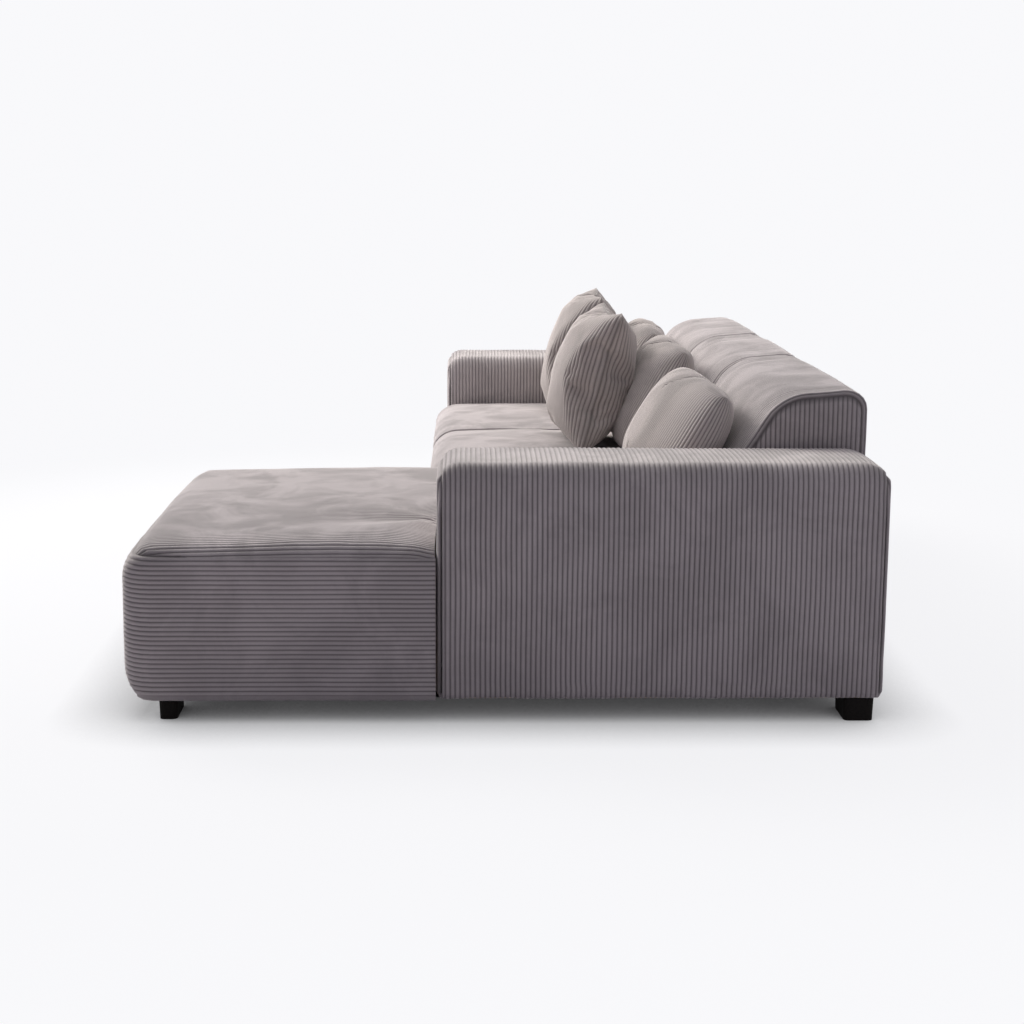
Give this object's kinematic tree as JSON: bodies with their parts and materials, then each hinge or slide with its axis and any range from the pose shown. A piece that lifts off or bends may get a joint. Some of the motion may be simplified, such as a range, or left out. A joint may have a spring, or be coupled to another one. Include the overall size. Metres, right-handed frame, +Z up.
{
  "type": "sectional sofa with chaise",
  "caption": "Corduroy sectional sofa with a long chaise at one end, block arms, slanted backs and loose lean-on cushions, on low block feet.",
  "frame": {"origin": "on the floor under the middle of the whole sofa, front to rear and side to side", "axes": "+X along the sofa towards the arm on the chaise side, +Y from the front to the rear, +Z up"},
  "size_m": [2.9, 1.816, 0.8896],
  "materials": {
    "corduroy": "wide-rib corduroy with a soft sheen",
    "cushion_corduroy": "wide-rib corduroy with a soft sheen",
    "foam": "open-cell polyurethane foam",
    "fibre_fill": "loose polyester fibre",
    "spring_wire": "drawn spring wire",
    "zinc_steel": "zinc plated",
    "webbing": "woven elastic webbing",
    "black_plastic": "moulded, matt black",
    "plywood": "raw plywood",
    "pine": "planed pine",
    "dust_cover_fabric": "non-woven black cloth"
  },
  "bodies": {
    "sofa": {"sofa_front_rail": "pine", "sofa_long_rails": "pine", "sofa_end_rails": "pine", "sofa_centre_rail": "pine", "sofa_seat_springs": "spring_wire", "sofa_spring_clips": "zinc_steel", "sofa_back_posts": "pine", "sofa_back_top_board": "pine", "sofa_back_webbing": "webbing", "sofa_corner_blocks": "pine", "sofa_feet": "black_plastic", "sofa_bolts": "zinc_steel", "sofa_dust_cover": "dust_cover_fabric", "connector_sockets": "zinc_steel", "left_seat_cover": "corduroy", "left_seat_foam": "foam", "left_back_cover": "corduroy", "left_back_foam": "foam", "middle_seat_cover": "corduroy", "middle_seat_foam": "foam", "middle_back_cover": "corduroy", "middle_back_foam": "foam", "left_arm_cover": "corduroy", "left_arm_padding": "foam", "left_arm_panels": "plywood", "left_arm_top_board": "plywood"},
    "chaise": {"chaise_front_rail": "pine", "chaise_left_rail": "pine", "chaise_ear_rail": "pine", "chaise_mid_rail": "pine", "chaise_arm_rail": "pine", "chaise_cross_rails": "pine", "chaise_seat_springs": "spring_wire", "chaise_spring_clips": "zinc_steel", "chaise_back_posts": "pine", "chaise_back_top_board": "pine", "chaise_back_webbing": "webbing", "chaise_cover": "corduroy", "chaise_foam": "foam", "chaise_back_cover": "corduroy", "chaise_back_foam": "foam", "chaise_corner_blocks": "pine", "chaise_feet": "black_plastic", "chaise_bolts": "zinc_steel", "chaise_dust_cover": "dust_cover_fabric", "connector_hooks": "zinc_steel", "right_arm_cover": "corduroy", "right_arm_padding": "foam", "right_arm_panels": "plywood", "right_arm_top_board": "plywood"},
    "chaise_cushion": {"chaise_cushion_cover": "cushion_corduroy", "chaise_cushion_fill": "fibre_fill"},
    "middle_cushion": {"middle_cushion_cover": "cushion_corduroy", "middle_cushion_fill": "fibre_fill"},
    "left_cushion": {"left_cushion_cover": "cushion_corduroy", "left_cushion_fill": "fibre_fill"},
    "middle_pillow": {"middle_pillow_cover": "cushion_corduroy", "middle_pillow_fill": "fibre_fill"},
    "left_pillow": {"left_pillow_cover": "cushion_corduroy", "left_pillow_fill": "fibre_fill"}
  },
  "joints": [
    {"name": "chaise_lift", "type": "slide", "parent": "sofa", "child": "chaise", "axis": [0, 0, 1], "range_m": [0, 0.06]},
    {"name": "chaise_cushion_lift", "type": "slide", "parent": "chaise", "child": "chaise_cushion", "axis": [0, 0.515, 0.8572], "range_m": [0, 0.5]},
    {"name": "middle_cushion_lift", "type": "slide", "parent": "sofa", "child": "middle_cushion", "axis": [0, 0.4848, 0.8746], "range_m": [0, 0.5]},
    {"name": "left_cushion_lift", "type": "slide", "parent": "sofa", "child": "left_cushion", "axis": [0, 0.4848, 0.8746], "range_m": [0, 0.5]},
    {"name": "middle_pillow_lift", "type": "slide", "parent": "sofa", "child": "middle_pillow", "axis": [0, 0, 1], "range_m": [0, 0.5]},
    {"name": "left_pillow_lift", "type": "slide", "parent": "sofa", "child": "left_pillow", "axis": [0, 0, 1], "range_m": [0, 0.5]}
  ]
}
